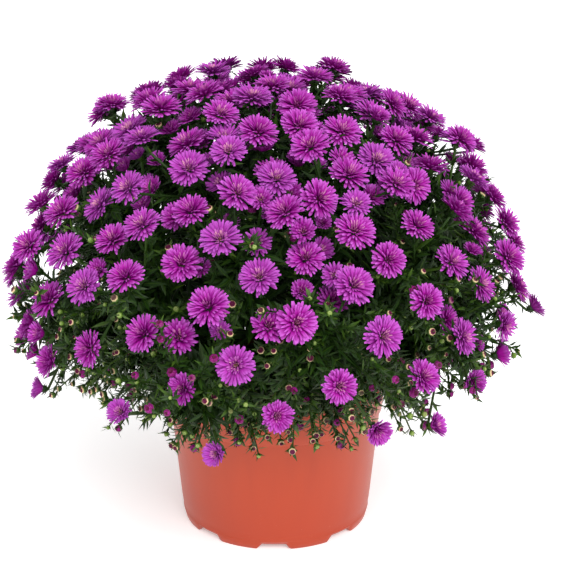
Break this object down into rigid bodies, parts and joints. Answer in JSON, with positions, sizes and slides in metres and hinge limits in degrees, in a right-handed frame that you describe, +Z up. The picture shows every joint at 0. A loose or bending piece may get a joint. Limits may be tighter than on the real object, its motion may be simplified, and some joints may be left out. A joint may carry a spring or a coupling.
{
  "type": "potted aster",
  "caption": "Bushy potted aster: a dome of double magenta-purple blooms over dark leafy stems, standing in soil in a round tapered terracotta-orange plastic nursery pot.",
  "frame": {"origin": "on the ground, on the pot's axis and in the middle of the bush's box", "axes": "+Z up along the pot's axis; one of the foot's notches faces -Y, which is the front"},
  "size_m": [0.4562, 0.4404, 0.4013],
  "materials": {
    "pot_plastic": "satin",
    "peat": "matte",
    "leaf_green": "satin",
    "petal_magenta": "matte"
  },
  "bodies": {
    "root": {"pot": "pot_plastic", "soil": "peat", "leafy_stem_00": "leaf_green", "leafy_stem_01": "leaf_green", "leafy_stem_02": "leaf_green", "leafy_stem_03": "leaf_green", "leafy_stem_04": "leaf_green", "leafy_stem_05": "leaf_green", "leafy_stem_06": "leaf_green", "leafy_stem_07": "leaf_green", "leafy_stem_08": "leaf_green", "leafy_stem_09": "leaf_green", "leafy_stem_10": "leaf_green", "leafy_stem_11": "leaf_green", "leafy_stem_12": "leaf_green", "leafy_stem_13": "leaf_green", "leafy_stem_14": "leaf_green", "leafy_stem_15": "leaf_green", "leafy_stem_16": "leaf_green", "leafy_stem_17": "leaf_green", "leafy_stem_18": "leaf_green", "leafy_stem_19": "leaf_green", "leafy_stem_20": "leaf_green", "leafy_stem_21": "leaf_green", "leafy_stem_22": "leaf_green", "leafy_stem_23": "leaf_green", "leafy_stem_24": "leaf_green", "leafy_stem_25": "leaf_green", "leafy_stem_26": "leaf_green", "leafy_stem_27": "leaf_green", "leafy_stem_28": "leaf_green", "flower_spray_00": "petal_magenta", "flower_spray_01": "petal_magenta", "flower_spray_02": "petal_magenta", "flower_spray_03": "petal_magenta", "flower_spray_04": "petal_magenta", "flower_spray_05": "petal_magenta", "flower_spray_06": "petal_magenta", "flower_spray_07": "petal_magenta", "flower_spray_08": "petal_magenta", "flower_spray_09": "petal_magenta", "flower_spray_10": "petal_magenta", "flower_spray_11": "petal_magenta", "flower_spray_12": "petal_magenta", "flower_spray_13": "petal_magenta", "flower_spray_14": "petal_magenta", "flower_spray_15": "petal_magenta", "flower_spray_16": "petal_magenta", "flower_spray_17": "petal_magenta", "flower_spray_18": "petal_magenta", "flower_spray_19": "petal_magenta", "flower_spray_20": "petal_magenta", "flower_spray_21": "petal_magenta", "flower_spray_22": "petal_magenta", "flower_spray_23": "petal_magenta", "flower_spray_24": "petal_magenta", "flower_spray_25": "petal_magenta", "flower_spray_26": "petal_magenta", "flower_spray_27": "petal_magenta", "flower_spray_28": "petal_magenta"}
  },
  "joints": []
}
